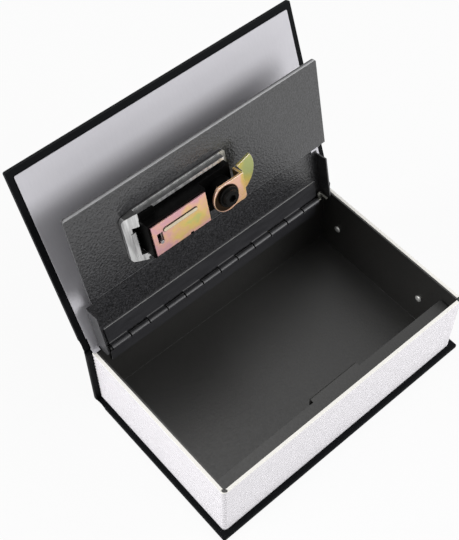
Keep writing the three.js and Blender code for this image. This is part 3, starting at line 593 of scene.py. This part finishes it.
# The lid is one folded sheet: a tongue over the hinge, a step down to the sunk plate
# that carries the lock, a turned-up lip in front and an ear folded in at each end.
lid_paint = Finish("dark_grey_hammer_paint", Specular_IOR_Level=1)
speckle = lid_paint.noise(scale=1000, detail=1)
paint_shade, paint_light = (0.010, 0.010, 0.011), (0.032, 0.032, 0.035)
lid_paint.vary("Base Color", lid_paint.mix(
    lid_paint.spread(speckle, 0.40, 0.62), paint_shade, paint_light))
lid_paint.vary("Roughness", 0.24 + speckle * 0.14)
hammered = lid_paint.pebbles(scale=900, softness=0.8) + speckle * 0.7
lid_paint.bump(hammered, distance=0.00020, strength=0.7)
# The lid's rounded edges and the faces along its lip and its step are painted paler grey, as
# painted highlights along them.
lid_edge_highlight = Finish("lid_paint_painted_highlight", Roughness=0.36)
lid_edge_highlight.vary("Base Color", lid_edge_highlight.mix(
    lid_edge_highlight.noise(scale=120), (0.16, 0.16, 0.165), (0.34, 0.34, 0.35)))
# The left ear's outer face is painted lighter grey, as painted light from the lamp on the left.
ear_painted_light = Finish("left_ear_painted_light", Roughness=0.4)
ear_painted_light.vary("Base Color", ear_painted_light.mix(
    ear_painted_light.noise(scale=140), (0.035, 0.035, 0.037), (0.09, 0.09, 0.095)))

lip_from, step_from, roughly = 0.098, 0.040, 0.85
left_ear_from = -0.0812
lid = eased("lid_sheet", lid_paint, width=0.00022, segments=2, edge_highlight=lid_edge_highlight)
up_and_off = (along_lid + off_lid).normalized()
off_and_down = (off_lid - along_lid).normalized()
refinish(lid, 1, lambda face: faces_up(face, up_and_off, roughly, lip_from))
refinish(lid, 1, lambda face: faces_up(face, off_and_down, roughly, step_from))
lid.data.materials.append(ear_painted_light.material)
refinish(lid, 2, lambda face: (
    face.center.x < left_ear_from and face.normal.x < -nearly_square))

# The lock housing is a light grey die casting, riveted through the lid: a flat frame with a
# raised wall along each long side. Its faces that look up the lid are painted darker, as painted
# shade.
casting = Finish("grey_die_casting", Metallic=1)
skin = casting.noise(scale=500, at=casting.stretched(1, 0.1, 0.1))
dark_cast, light_cast = (0.42, 0.42, 0.42), (0.88, 0.88, 0.88)
casting.vary("Base Color", casting.mix(
    casting.spread(skin, 0.35, 0.65), dark_cast, light_cast))
casting.vary("Roughness", 0.3 + skin * 0.16)
casting.bump(skin, distance=0.00008, strength=0.5)
# Faces that look up the lid are painted darker grey, as painted shade.
casting_painted_shade = Finish("die_casting_painted_shade", Metallic=0.8)
shade_streaks = casting_painted_shade.noise(scale=600, at=casting_painted_shade.stretched(0.3, 1, 1))
casting_painted_shade.vary("Base Color", casting_painted_shade.mix(shade_streaks, (0.07, 0.07, 0.07), (0.20, 0.20, 0.20)))
casting_painted_shade.vary("Roughness", 0.36 + shade_streaks * 0.2)
squarely_up = 0.97
housing = eased("lock_housing", casting, width=0.0003, segments=3)
housing.data.materials.append(casting_painted_shade.material)
refinish(housing, 2, lambda face: (
    face.normal.dot(along_lid) > squarely_up and face.material_index == 0))

# The lock body is a black moulding that holds the dials in its cage, with a foot and a
# round boss that carry the turning shaft.
moulding = Finish("black_moulding", Specular_IOR_Level=0.03)
grain = moulding.noise(scale=600)
moulding.vary("Base Color", moulding.mix(
    grain, (0.0008, 0.0008, 0.0008), (0.0022, 0.0022, 0.0022)))
moulding.vary("Roughness", 0.35 + grain * 0.2)
moulding.bump(grain, distance=0.00004, strength=0.4)
body = eased("lock_body", moulding, width=0.0003, segments=3)

# The three dials are moulded wheels with a flute between digits, of the same black
# material as the body.
for number in range(1, 4):
    dial = eased(f"dial_{number}", moulding, width=0.0002, segments=2)

# The dials turn on a steel axle, and a strip of spring steel presses a finger on each.
# The lever that sets the code and the shaft of the cam are plain steel too.
steel = Finish("plain_steel", Metallic=1)
drawn = steel.noise(scale=300, at=steel.stretched(0.2, 2, 2))
steel.vary("Base Color", steel.mix(drawn, (0.30, 0.31, 0.31), (0.46, 0.46, 0.47)))
steel.vary("Roughness", 0.24 + drawn * 0.2)
for node in ("dial_axle", "detent_spring", "code_lever", "cam_shaft"):
    piece = eased(node, steel, width=0.00008, segments=1)

# The back plate is stamped from steel with a yellow chromate over zinc, which shades from gold
# in its heart to pink. Its pressed rib is painted pale on top as a painted highlight, dark on
# its sides as painted shade, and ringed by a painted shadow line.
plating = Finish("yellow_chromate", Metallic=1)
heart_place = plating.node("ShaderNodeMapping", {"vector_type": "TEXTURE"}, {
    "Vector": plating.place, "Location": (-0.0195, 0.0458, 0.1184), "Rotation": (0, -0.06, 0),
    "Scale": (0.0230, 0.03, 0.0105)})
heart = plating.node(
    "ShaderNodeTexGradient", {"gradient_type": "SPHERICAL"}, {"Vector": heart_place}, "Fac")
clouds = plating.noise(scale=210, detail=2)
tints = plating.node("ShaderNodeValToRGB", {"stops": [
    (0.38, (0.82, 0.46, 0.50)), (0.54, (0.92, 0.54, 0.42)), (0.70, (0.92, 0.62, 0.29)),
    (0.86, (0.88, 0.68, 0.22)), (1.00, (0.72, 0.68, 0.25))]}, {0: heart * 0.50 + clouds * 0.85})
# A dark line is painted round the rib, as its painted shadow on the plate.
rib_left, rib_right, rib_line = -0.0370, -0.0179, 0.0724
shadow_line_from, shadow_line_to = 0.00148, 0.00170
across = plating.along("X")
past_end = across - plating.node(
    "ShaderNodeClamp", {}, {"Value": across, "Min": rib_left, "Max": rib_right})
past_side = climb(plating) - rib_line
from_rib = plating.node(
    "ShaderNodeMath", {"operation": "SQRT"}, {0: past_end * past_end + past_side * past_side})
rib_shadow_line = 1 - plating.spread(from_rib, shadow_line_from, shadow_line_to)
plating.vary("Base Color", plating.mix(rib_shadow_line, tints, (0.10, 0.07, 0.04)))
fine_scratches = plating.noise(scale=900, at=plating.stretched(0.25, 1, 1))
plating.vary("Roughness", 0.26 + fine_scratches * 0.18)
plating.bump(fine_scratches, distance=0.00003, strength=0.4)
# The rounded edges of the back plate and the cam are painted pale pink, as painted highlights
# along them.
plated_edge_highlight = Finish("plated_edge_painted_highlight", Metallic=1)
plated_edge_highlight.vary("Base Color", plated_edge_highlight.mix(
    plated_edge_highlight.noise(scale=200), (0.80, 0.62, 0.55), (0.95, 0.85, 0.78)))
plated_edge_highlight.vary("Roughness", 0.24 + plated_edge_highlight.noise(scale=400) * 0.1)
# The rib's top is painted pale cream as a painted highlight, and its sides dark brown as painted
# shade.
rib_top_highlight = Finish("rib_top_painted_highlight", Metallic=1, Roughness=0.34)
rib_top_highlight.vary("Base Color", rib_top_highlight.mix(
    rib_top_highlight.noise(scale=300), (0.74, 0.62, 0.42), (0.92, 0.84, 0.66)))
rib_side_shade = Finish("rib_side_painted_shade", Roughness=0.6)
rib_side_shade.vary("Base Color", rib_side_shade.mix(
    rib_side_shade.noise(scale=300), (0.02, 0.014, 0.01), (0.05, 0.035, 0.02)))
back_plate = eased(
    "lock_back_plate", plating, width=0.00032, segments=2, edge_highlight=plated_edge_highlight)
for look in (rib_top_highlight, rib_side_shade):
    back_plate.data.materials.append(look.material)

slot_middle, slot_reach, slot_from, slot_to = -0.0409, 0.0016, 0.0655, 0.0725
slot_widened, slot_held_at = 1.45, -0.0413
plate_face, rib_face = 0.01981, 0.02049
rib_reach, rib_overrun, rib_foot = 0.0019, 0.0019, 0.0195
rib_slimmed, rib_middle = 0.76, (0, 0.04755, 0.12328)


def in_slot(spot):
    up = (spot - pin_middle).dot(along_lid)
    return abs(spot.x - slot_middle) < slot_reach and slot_from < up < slot_to


def on_rib(spot):
    from_pin = spot - pin_middle
    beside = abs(from_pin.dot(along_lid) - rib_line) < rib_reach
    lengthwise = rib_left - rib_overrun < spot.x < rib_right + rib_overrun
    return beside and lengthwise and from_pin.dot(off_lid) > rib_foot


def height(face):
    return (face.center - pin_middle).dot(off_lid)


pick(back_plate, in_slot)
bpy.ops.transform.resize(value=(slot_widened, 1, 1), center_override=(slot_held_at, 0, 0))
bpy.ops.object.mode_set(mode="OBJECT")
refinish(back_plate, 2, lambda face: height(face) > rib_face)
refinish(back_plate, 3, lambda face: plate_face < height(face) <= rib_face)
pick(back_plate, on_rib)
bpy.ops.transform.resize(
    value=(1, rib_slimmed, rib_slimmed), center_override=rib_middle)
bpy.ops.object.mode_set(mode="OBJECT")

# The cam is stamped from the same plated steel and cranked up to its claw. Its plating turns
# from pink round the screw to green at the tip, and a dark ring is painted round the screw as
# its painted shadow.
green_gold = Finish("greenish_chromate", Metallic=1)
tip_place = green_gold.node("ShaderNodeMapping", {"vector_type": "TEXTURE"}, {
    "Vector": green_gold.place, "Location": (0.0235, 0.047, 0.1230),
    "Scale": (0.013, 0.03, 0.013)})
tip = green_gold.node(
    "ShaderNodeTexGradient", {"gradient_type": "SPHERICAL"}, {"Vector": tip_place}, "Fac")
greens = green_gold.node("ShaderNodeValToRGB", {"stops": [
    (0.18, (0.92, 0.56, 0.44)), (0.32, (0.84, 0.56, 0.20)), (0.52, (0.64, 0.54, 0.15)),
    (0.82, (0.44, 0.48, 0.20))]}, {0: tip + green_gold.noise(scale=190, detail=2) * 0.4})
hub_place = green_gold.node("ShaderNodeMapping", {"vector_type": "TEXTURE"}, {
    "Vector": green_gold.place, "Location": (0.00105, 0.045, 0.1192),
    "Scale": (0.0081, 1, 0.0079)})
hub = green_gold.node(
    "ShaderNodeTexGradient", {"gradient_type": "SPHERICAL"}, {"Vector": hub_place}, "Fac")
# A dark disc just wider than the screw head is painted here, as the screw's painted shadow.
screw_painted_shadow = green_gold.spread(hub, 0, 0.06)
green_gold.vary("Base Color", green_gold.mix(screw_painted_shadow, greens, (0.03, 0.018, 0.01)))
cam_scratches = green_gold.noise(scale=900, at=green_gold.stretched(0.25, 1, 1))
green_gold.vary("Roughness", 0.26 + cam_scratches * 0.18)
cam = eased("cam", green_gold, width=0.0003, segments=2, edge_highlight=plated_edge_highlight)

# The cam is held on the squared end of the shaft by a broad blackened screw, whose head
# stands proud of it with a socket in the middle.
black = Finish("blackened_steel", Specular_IOR_Level=0.1)
worn = black.noise(scale=400)
black.vary("Base Color", black.mix(worn, (0.002, 0.002, 0.002), (0.007, 0.0065, 0.006)))
black.vary("Roughness", 0.28 + worn * 0.2)
screw = eased("cam_screw", black, width=0.0003, segments=2)

# The outer face of the lid carries a black face plate with a slot for each dial, and a
# knob with a finger bar that turns the cam.
for node, width in (("face_plate", 0.0003), ("turn_knob", 0.0005)):
    piece = eased(node, moulding, width, segments=3)
